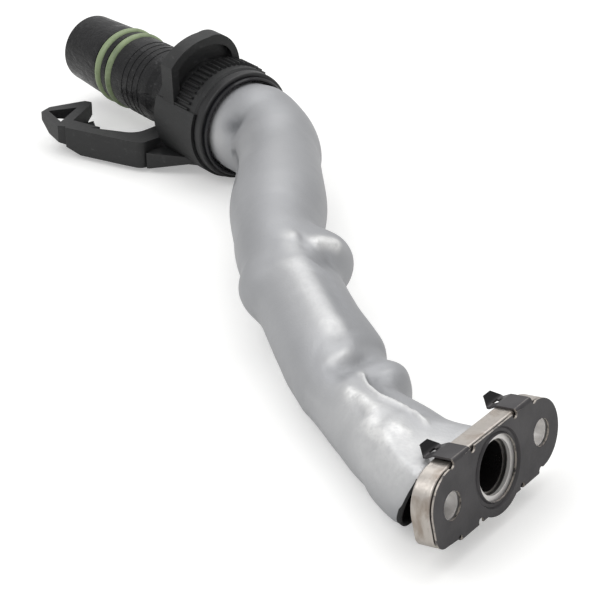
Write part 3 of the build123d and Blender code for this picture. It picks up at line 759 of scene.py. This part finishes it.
@dataclass
class HeatSleeve:
    """Loose aluminised sleeve, hung wide and flat at the flange. Sizes in millimetres."""

    wall: float = 0.9
    sections: tuple[tuple[float, float], ...] = (
        (8.0, 14.2),
        (26.0, 10.5),
        (45.0, 9.2),
        (68.0, 12.4),
        (118.0, 12.0),
        (145.0, 14.0),
        (172.0, 12.8),
        (195.0, 14.4),
        (211.0, 14.2),
    )
    sag_left: float = 9.4
    sag_down: float = 0.7
    sag_l: float = 70.0
    top_at_flange: float = 6.9
    top_rise: float = 0.13
    clear_r: float = 8.3
    floor_level: float = -14.6
    first: float = 3.0
    mouth_clear: float = 6.7
    mouth_at: float = 10.2
    mouth_slant: float = 31.0
    mouth_rings: int = 40
    end_clear: float = 211.0
    end_fade: float = 8.0
    # Share of each crease's rise painted as light: painted highlight on crests, painted shade in furrows.
    crest_shading: float = 0.25
    floor_share: float = 0.8
    lip_rings: int = 2
    lip_step: float = 0.3
    rings: int = 270
    round_count: int = 144
    soften: int = 7
    stub: float = 16.0
    low: tuple[float, float, float] = (-32.4, 35.7, -4.4)
    high: tuple[float, float, float] = (-51.0, 100.7, 4.0)
    last: float = 20.0
    radii: tuple[float, ...] = (30.0, 49.0, 40.0, 22.0)
    folds: tuple[Fold, ...] = (
        Fold(46.4, 168.0, 7.8, 8.3, 32.0),
        Fold(109.0, 183.0, 7.0, 7.7, 43.0),
        Fold(100.4, 5.0, 2.8, 6.0, 40.0),
        Fold(63.6, 174.0, 2.2, 12.7, 26.0),
        Fold(31.0, 204.0, 4.2, 16.0, 24.0),
        Fold(187.0, 150.0, -1.6, 12.0, 45.0),
        Fold(202.0, 108.0, 0.9, 5.0, 50.0),
    )
    creases: tuple[Union[Crease, Fold], ...] = (
        Crease(((105.3, 86.0), (107.3, 106.0)), 0.6, 1.9),
        Crease(((108.0, 110.0), (104.0, 106.0), (99.0, 100.0)), -0.4, 1.5),
        Crease(((102.5, 113.0), (104.6, 132.0), (104.5, 155.0)), 1.2, 2.3),
        Crease(((93.0, 108.0), (96.0, 124.0), (99.0, 144.0)), -0.9, 3.4),
        Crease(((97.0, 80.0), (90.0, 85.0), (82.7, 87.0), (75.5, 89.0), (69.2, 88.0), (62.8, 93.0)), 0.4, 3.2),
        Crease(((90.0, 106.0), (80.0, 109.0), (70.0, 112.0), (62.0, 118.0)), -0.45, 3.2),
        Crease(((59.0, 76.0), (58.6, 90.0), (59.4, 104.0)), -0.3, 1.3),
        Crease(((56.4, 106.0), (54.6, 88.0), (54.2, 62.0)), 0.6, 1.8, fade=8.0),
        Crease(((51.4, 50.0), (49.0, 76.0), (50.0, 99.0), (52.6, 123.0), (54.6, 144.0)), -0.8, 2.4, fade=9.0),
        Crease(
            ((47.2, 111.0), (40.3, 101.0), (33.0, 98.0), (27.0, 110.0), (21.6, 115.0), (16.0, 112.0)), 1.0, 0.9, 1.6
        ),
        Crease(((46.0, 122.0), (39.0, 113.0), (33.0, 110.0)), -0.8, 2.0),
        Crease(((46.0, 134.0), (44.0, 146.0)), 0.3, 1.6),
        Fold(41.0, 70.0, 0.6, 3.2, 13.0, 2.0),
        Fold(35.5, 76.0, 0.6, 2.6, 9.0, 2.0),
        Fold(29.5, 74.0, 0.5, 2.4, 9.0, 2.0),
        Fold(26.5, 57.0, 0.6, 3.0, 10.0, 2.0),
        Fold(20.5, 58.0, 0.6, 3.4, 12.0, 2.0),
        Fold(18.5, 80.0, 0.5, 2.8, 9.0, 2.0),
        Fold(32.0, 60.0, -0.4, 3.0, 10.0, 2.0),
        Fold(197.0, 33.0, -1.3, 6.0, 16.0, 2.0),
        Crease(((196.0, -5.0), (178.0, 5.0), (161.0, 19.0), (148.0, 22.0)), -0.6, 1.3, 1.5),
    )
    # Painted light over the sleeve's colour: painted highlights where the rise is positive, painted shade where it
    # is negative.
    painted_light_marks: tuple[Union[Crease, Fold], ...] = (
        Fold(22.0, 60.0, 0.46, 26.0, 44.0, 3.0),
        Fold(8.0, 110.0, 0.2, 10.0, 50.0, 3.0),
        Crease(((43.0, 71.0), (36.5, 76.0), (28.5, 77.0)), 0.5, 1.9, 2.4, 2.0),
        Fold(38.0, 63.0, 0.25, 2.4, 9.0),
        Fold(27.0, 64.0, 0.4, 2.8, 8.0),
        Fold(25.0, 51.0, 0.35, 3.0, 7.0),
        Fold(20.5, 55.0, 0.42, 3.4, 9.0),
        Fold(20.0, 76.0, 0.42, 2.2, 8.0),
        Fold(17.6, 85.0, 0.35, 2.0, 6.0),
        Fold(10.5, 98.0, 0.25, 2.4, 9.0),
        Crease(
            ((47.3, 110.0), (40.3, 101.0), (33.0, 98.0), (27.0, 110.0), (21.6, 115.0), (16.0, 112.0)),
            0.5, 0.9, fade=2.0,
        ),
        Fold(46.6, 108.0, 0.3, 1.8, 8.0),
        Crease(((46.0, 124.0), (39.0, 115.0), (33.0, 111.0)), -0.3, 2.4),
        Fold(42.0, 145.0, -0.14, 5.0, 20.0),
        Fold(44.0, 180.0, 0.14, 6.0, 26.0),
        Fold(45.0, 138.0, 0.16, 1.4, 9.0),
        Crease(((51.2, 56.0), (48.8, 76.0), (49.4, 97.0), (51.9, 120.0), (53.5, 140.0)), -0.2, 2.0, fade=6.0),
        Fold(48.2, 84.0, -0.1, 2.0, 14.0),
        Crease(((56.0, 104.0), (54.3, 85.0), (53.5, 63.0)), 0.34, 1.5),
        Crease(
            ((97.0, 79.0), (90.0, 84.0), (83.0, 85.0), (76.0, 86.0), (69.0, 85.0), (61.5, 91.0)), 0.29, 3.2, 3.6, 1.5
        ),
        Crease(((98.0, 70.0), (84.0, 68.0), (70.0, 70.0), (56.0, 84.0)), 0.16, 5.0),
        Fold(64.5, 94.0, 0.12, 5.0, 12.0, 3.0),
        Fold(101.0, 89.0, 0.26, 3.6, 13.0),
        Crease(((98.6, 142.0), (93.5, 116.0), (84.0, 109.0), (76.0, 108.0), (68.0, 112.0)), -0.12, 2.6),
        Fold(99.5, 150.0, -0.1, 4.0, 18.0),
        Crease(((102.8, 112.5), (104.8, 133.0), (104.6, 153.0)), 0.8, 2.7, 2.8, 2.0),
        Crease(((104.8, 83.0), (107.1, 92.0), (107.4, 104.0)), 0.5, 2.3),
        Fold(114.0, 42.0, -0.12, 9.0, 22.0),
        Crease(((185.0, 88.0), (165.0, 88.0), (145.0, 90.0), (128.0, 90.0)), 0.08, 3.2),
        Fold(197.0, 32.0, -0.55, 5.0, 13.0, 3.0),
        Fold(200.5, 26.0, -0.35, 4.0, 9.0, 3.0),
        Fold(206.5, 10.0, 0.34, 5.0, 26.0),
        Fold(172.0, 28.0, 0.15, 18.0, 28.0),
        Fold(26.0, 6.0, 0.1, 22.0, 26.0),
        Fold(14.0, 32.0, 0.12, 14.0, 32.0),
        Fold(197.0, 160.0, 0.2, 9.0, 24.0),
        Crease(((196.0, -5.0), (178.0, 5.0), (161.0, 19.0), (148.0, 22.0)), -0.5, 1.0, 3.0),
    )
    crumples: tuple[Crumple, ...] = (
        Crumple(11, 8.0, 62.0, 60, 26, 0.30),
        Crumple(12, 62.0, 125.0, 30, 10, 0.22),
        Crumple(13, 125.0, 205.0, 16, 4, 0.14),
    )
    finish: FoilCloth = FoilCloth()
    # Black inside wall and lip: partly the lip's own dark edge, partly painted shade for the shadowed inside of the
    # open mouth.
    lining_and_shade: BlackPlastic = BlackPlastic("sleeve_lining_and_shade", (0.010, 0.010, 0.010), (0.02, 0.02, 0.02), 0.75)
    slanted: np.ndarray = field(init=False, repr=False, default_factory=lambda: np.zeros(0, dtype=bool))

    def route(self) -> Route:
        """The line that the sleeve follows.

        Returns:
            The route, in millimetres.
        """
        corners = [
            Vector((0, 0, 0)),
            FACE_WAY * -self.stub,
            Vector(self.low),
            Vector(self.high),
            PLUG_BASE / MM - PLUG_WAY * self.last,
            PLUG_BASE / MM,
        ]
        return Route(corners, self.radii)

    def radius(self, distance: np.ndarray, angle: np.ndarray) -> np.ndarray:
        """Radius of the sections before they hang and lie down.

        Args:
            distance: distances along the route.
            angle: angles round the sleeve, in degrees.

        Returns:
            The radius at each place, in millimetres.
        """
        reach = np.full(np.broadcast(distance, angle).shape, self.sections[0][1])
        for (d0, r0), (d1, r1) in zip(self.sections, self.sections[1:]):
            reach = reach + (r1 - r0) * smooth((distance - d0) / (d1 - d0))
        for fold in self.folds:
            reach = reach + fold.lift(distance, angle)
        return reach

    def places(self, route: Route) -> tuple[np.ndarray, np.ndarray]:
        """Distances along the route and angles round the sleeve of the grid's points.

        Args:
            route: the line it follows.

        Returns:
            A column of distances and a row of angles in degrees.
        """
        steps = np.linspace(self.first, route.length, self.rings)
        angles = np.arange(self.round_count) * 360.0 / self.round_count
        return steps[:, None], angles[None, :]

    def form(self, route: Route) -> np.ndarray:
        """Grid of points on the sleeve's outside before its creases.

        Args:
            route: the line it follows.

        Returns:
            Array of rings, angles and coordinates, in millimetres.
        """
        steps, angles = self.places(route)
        reach = self.radius(steps, angles)
        turn = np.radians(angles[0])
        grid = np.zeros((self.rings, self.round_count, 3))
        for index, distance in enumerate(steps[:, 0]):
            point, heading = route.at(float(distance))
            left = Vector((0, 0, 1)).cross(heading).normalized()
            up = heading.cross(left)
            hang = 1.0 - float(smooth(np.array(distance / self.sag_l)))
            across = reach[index] * np.cos(turn) + self.sag_left * hang
            height = reach[index] * np.sin(turn) - self.sag_down * hang
            height = np.minimum(height, self.top_at_flange + self.top_rise * distance)
            push = np.maximum(1.0, self.clear_r / np.hypot(across, height))
            floor = (self.floor_level - point.z) / up.z
            across = self.soft(across * push)
            height = np.maximum(self.soft(np.maximum(height * push, floor)), floor)
            grid[index] = np.array(point) + np.outer(across, np.array(left)) + np.outer(height, np.array(up))
        return grid

    def walls(self, route: Route) -> tuple[np.ndarray, np.ndarray]:
        """Outside and inside of the creased sleeve with its painted light and shade, cut at the mouth.

        Args:
            route: the line it follows.

        Returns:
            The two grids of points in millimetres, with the painted light and shade behind the coordinates.
        """
        steps, angles = self.places(route)
        grid = self.form(route)
        ways = np.cross(np.gradient(grid, axis=0), np.roll(grid, -1, 1) - np.roll(grid, 1, 1))
        ways /= np.maximum(np.linalg.norm(ways, axis=2, keepdims=True), 1e-9)
        middle = grid.mean(axis=1, keepdims=True)
        ways *= np.sign((ways * (grid - middle)).sum(axis=2, keepdims=True).mean())
        marks = list(self.creases)
        for crumple in self.crumples:
            marks.extend(crumple.marks())
        rise = np.zeros(grid.shape[:2])
        for mark in marks:
            rise = rise + mark.lift(steps, angles)
        rise = rise * smooth((self.end_clear - steps) / self.end_fade)
        # Painted light and shade: the listed patches plus a share of the crease rise.
        wear_and_painted_light = np.zeros(grid.shape[:2])
        for light_mark in self.painted_light_marks:
            wear_and_painted_light = wear_and_painted_light + light_mark.lift(steps, angles)
        wear_and_painted_light = (wear_and_painted_light + self.crest_shading * rise)[..., None]
        outer = grid + ways * rise[..., None]
        inner = outer - ways * self.wall
        outer[..., 2] = np.maximum(outer[..., 2], self.floor_level)
        inner[..., 2] = np.maximum(inner[..., 2], self.floor_level + self.floor_share * self.wall)
        return self.cut_mouth(np.dstack([outer, wear_and_painted_light])), self.cut_mouth(np.dstack([inner, wear_and_painted_light]))

    def soft(self, ring: np.ndarray) -> np.ndarray:
        """Rounds a ring's corners by averaging neighbours.

        Args:
            ring: one coordinate of the ring's points.

        Returns:
            The rounded ring.
        """
        for _ in range(self.soften):
            ring = 0.5 * ring + 0.25 * (np.roll(ring, 1) + np.roll(ring, -1))
        return ring

    def cut_mouth(self, grid: np.ndarray) -> np.ndarray:
        """Starts each row at the mouth, cut square to the pipe and on the slant below.

        Args:
            grid: points and their painted light and shade, by ring and angle.

        Returns:
            The grid, with every row resampled from the mouth on.
        """
        up = FACE_WAY.cross(FLANGE_LONG)
        slant = math.radians(self.mouth_slant)
        slanted = np.array(FACE_WAY * math.cos(slant) - up * math.sin(slant))
        square = np.array(FACE_WAY)
        out = np.empty_like(grid)
        self.slanted = np.zeros(grid.shape[1], dtype=bool)
        share = np.arange(grid.shape[0], dtype=float)
        for column in range(grid.shape[1]):
            row = grid[:, column, :3]
            below = (row + square * self.mouth_at) @ slanted
            behind = (row + square * self.mouth_clear) @ square
            ahead = np.maximum(below, behind)
            ahead[self.mouth_rings :] = -1.0
            last = np.nonzero(ahead > 0)[0]
            start = 0.0
            if len(last):
                k = int(last[-1])
                start = k + ahead[k] / (ahead[k] - ahead[k + 1])
                self.slanted[column] = below[k] > behind[k]
            wanted = start + (share[-1] - start) * share / share[-1]
            for axis in range(grid.shape[2]):
                out[:, column, axis] = np.interp(wanted, share, grid[:, column, axis])
        return out

    def build(self) -> bpy.types.Object:
        """Builds the sleeve as one closed wall, silver outside and black inside and at its lip; the black inside the
        mouth is partly painted shade.

        Returns:
            The sleeve.
        """
        route = self.route()
        outer, inner = self.walls(route)
        lip = slice(0, self.lip_rings)
        outer[lip] += (inner[lip] - outer[lip]) * self.lip_step
        grid = np.concatenate([outer, inner[::-1]])
        rings, count = grid.shape[:2]
        faces = []
        layers = []
        for ring in range(rings):
            after = (ring + 1) % rings
            outside = ring + 1 < self.rings
            for index in range(count):
                beside = (index + 1) % count
                faces.append(
                    (ring * count + index, ring * count + beside, after * count + beside, after * count + index)
                )
                # Inside faces and the slanted lip take the black, partly painted shade.
                silver = outside and (ring + 1 >= self.lip_rings or not self.slanted[index])
                layers.append(Layer.COVER.value if silver else Layer.LINING_AND_SHADE.value)
        points = grid[..., :3].reshape(-1, 3) * MM
        made = mesh_piece("sleeve_cover", points, faces, self.finish.material())
        # Stores the painted light and shade on each point for the foil's colour.
        wear_and_painted_light = made.data.attributes.new(PAINTED_LIGHT_ATTRIBUTE, "FLOAT", "POINT")
        wear_and_painted_light.data.foreach_set("value", grid[..., 3].ravel())
        made.data.materials.append(self.lining_and_shade.material())
        made.data.polygons.foreach_set("material_index", layers)
        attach(made, BODY)
        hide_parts("heat_sleeve")
        log.info("sleeve_cover: %d faces", len(faces))
        return made


@dataclass
class FlangeEnd:
    """Steel flange, its clipped gasket, the stub pipe and the clamp beside it."""

    # The flange's pale port ring and bolt-hole walls carry a painted highlight; the black down its port is painted
    # shade.
    flange_finish: MachinedSteel = MachinedSteel(
        "flange_face", turned_r=0.0086, bore_shade_r=0.0068, holes=(-0.019, 0.019)
    )
    # The black down the stub's bore is painted shade.
    stub_finish: MachinedSteel = MachinedSteel(
        "stub_tube", (0.60, 0.58, 0.55), (0.40, 0.36, 0.32), 0.3, bore_shade_r=0.00605
    )
    braze_finish: MachinedSteel = MachinedSteel("braze_metal", (0.42, 0.30, 0.16), (0.25, 0.17, 0.09), 0.4)
    gasket_finish: SheetSteel = SheetSteel("gasket_sheet_steel")
    clamp_finish: SheetSteel = SheetSteel(
        "clamp_sheet_steel", (0.03, 0.028, 0.027), (0.05, 0.046, 0.043), face_only=False
    )

    def build(self) -> None:
        """Dresses the flange end's nodes."""
        dress("flange", self.flange_finish.material())
        dress("stub_pipe", self.stub_finish.material())
        dress("braze_fillet", self.braze_finish.material())
        dress("flange_gasket", self.gasket_finish.material())
        clamp = self.clamp_finish.material()
        dress("hose_clamp_pipe", clamp)
        dress("hose_clamp_plug", clamp)


@dataclass
class Connector:
    """Plastic push-in connector with its collar, latch, rings and O-rings."""

    plug_finish: BlackPlastic = BlackPlastic(
        "plug_plastic", (0.006, 0.006, 0.007), (0.07, 0.07, 0.072), 0.32, streaky=0.6, shine=0.3
    )
    collar_finish: BlackPlastic = BlackPlastic("collar_plastic", (0.016, 0.0165, 0.017), (0.06, 0.06, 0.06), 0.48)
    ring_finish: BlackPlastic = BlackPlastic("ring_plastic", (0.012, 0.012, 0.013), (0.03, 0.03, 0.03), 0.4)
    lip_finish: BlackPlastic = BlackPlastic("lip_rubber", (0.008, 0.008, 0.01), (0.02, 0.02, 0.022), 0.2, 0.00001)
    hose_finish: BlackPlastic = BlackPlastic("hose_rubber", (0.02, 0.02, 0.02), (0.04, 0.04, 0.04), 0.6)
    o_ring_finish: RingRubber = RingRubber()

    def build(self) -> None:
        """Dresses the connector's nodes and the hose."""
        dress("plug_body", self.plug_finish.material())
        dress("lock_collar", self.collar_finish.material())
        dress("retaining_ring", self.ring_finish.material())
        dress("lip_ring", self.lip_finish.material())
        dress("hose", self.hose_finish.material())
        green = self.o_ring_finish.material()
        dress("o_ring_rear", green)
        dress("o_ring_front", green)


# Set


@dataclass(frozen=True)
class Lamp:
    """One square soft lamp: its place, the point that it looks at, its side and its power in watts."""

    name: str
    at: Vector
    aim: Vector
    size: float
    power: float

    def hang(self) -> None:
        """Adds the lamp to the scene."""
        light = bpy.data.lights.new(self.name, "AREA")
        light.size = self.size
        light.energy = self.power
        made = bpy.data.objects.new(self.name, light)
        bpy.context.collection.objects.link(made)
        made.location = self.at
        made.rotation_mode = "QUATERNION"
        made.rotation_quaternion = (self.aim - self.at).to_track_quat("-Z", "Y")


@dataclass
class Studio:
    """Floor, lamps, surroundings and camera of the photograph. Lengths in metres, lens in millimetres."""

    floor_z: float = -14.75 * MM
    floor_half: float = 6.0
    floor_colours: tuple[Colour, Colour] = ((0.80, 0.80, 0.79), (0.82, 0.82, 0.81))
    floor_rough: float = 0.9
    floor_lift: float = 0.34
    camera_at: Vector = field(default_factory=lambda: Vector((-44.9, -361.8, 235.4)) * MM)
    pitch: float = math.radians(28.0)
    lens: float = 114.0
    film: float = 36.0
    reach: tuple[float, float] = (0.01, 20.0)
    ambient: float = 0.62
    lamps: tuple[Lamp, ...] = (
        Lamp("top_box", Vector((0.01, 0.43, 0.68)), Vector((-0.05, 0.11, 0.0)), 0.8, 2.4),
        Lamp("side_box", Vector((-0.30, -0.06, 0.40)), Vector((-0.03, 0.03, 0.0)), 0.3, 0.6),
    )

    def floor(self) -> None:
        """Lays a pale floor that shows white to the camera and keeps the part's shadow."""
        half = self.floor_half
        square = ((-half, -half), (half, -half), (half, half), (-half, half))
        corners = np.array([(x, y, self.floor_z) for x, y in square])
        g = Surface("floor_paper")
        ray = g.node("ShaderNodeLightPath", result="Is Camera Ray")
        g.finish(
            Base_Color=g.mix(g.noise(0.05), *self.floor_colours),
            Roughness=self.floor_rough,
            Emission_Color=g.mix(ray, (0.0, 0.0, 0.0), (self.floor_lift,) * 3),
            Emission_Strength=1.0,
            Specular_IOR_Level=0.0,
        )
        mesh_piece("studio_floor", corners, [(0, 1, 2, 3)], g.material)

    def world(self) -> None:
        """White surroundings for the camera, softer for the light that they give."""
        world = bpy.data.worlds.new("studio")
        bpy.context.scene.world = world
        world.use_nodes = True
        g = Graph(world.node_tree)
        white = (1.0, 1.0, 1.0, 1.0)
        straight = g.node("ShaderNodeLightPath", result="Is Camera Ray")
        through = g.node("ShaderNodeLightPath", result="Is Transmission Ray")
        seen = g.node("ShaderNodeMath", {"operation": "MAXIMUM"}, {0: straight, 1: through})
        soft = g.node("ShaderNodeBackground", {}, {0: white, 1: self.ambient})
        bright = g.node("ShaderNodeBackground", {}, {0: white, 1: 1.0})
        g.end("ShaderNodeOutputWorld", g.node("ShaderNodeMixShader", {}, {0: seen, 1: soft, 2: bright}))

    def camera(self) -> None:
        """Stands the camera where the photograph was taken from."""
        data = bpy.data.cameras.new("photo_camera")
        data.lens = self.lens
        data.sensor_width = self.film
        data.clip_start, data.clip_end = self.reach
        made = bpy.data.objects.new("photo_camera", data)
        bpy.context.collection.objects.link(made)
        made.location = self.camera_at
        made.rotation_euler = (math.pi / 2 - self.pitch, 0.0, 0.0)
        bpy.context.scene.camera = made

    def build(self) -> None:
        """Sets up the whole studio."""
        bpy.context.scene.view_settings.view_transform = "Standard"
        self.floor()
        self.world()
        for lamp in self.lamps:
            lamp.hang()
        self.camera()


def main() -> None:
    """Builds every sub-assembly in order."""
    logging.basicConfig(level=logging.INFO, format="%(message)s")
    HeatSleeve().build()
    FlangeEnd().build()
    Connector().build()
    Studio().build()


if __name__ == "__main__":
    main()
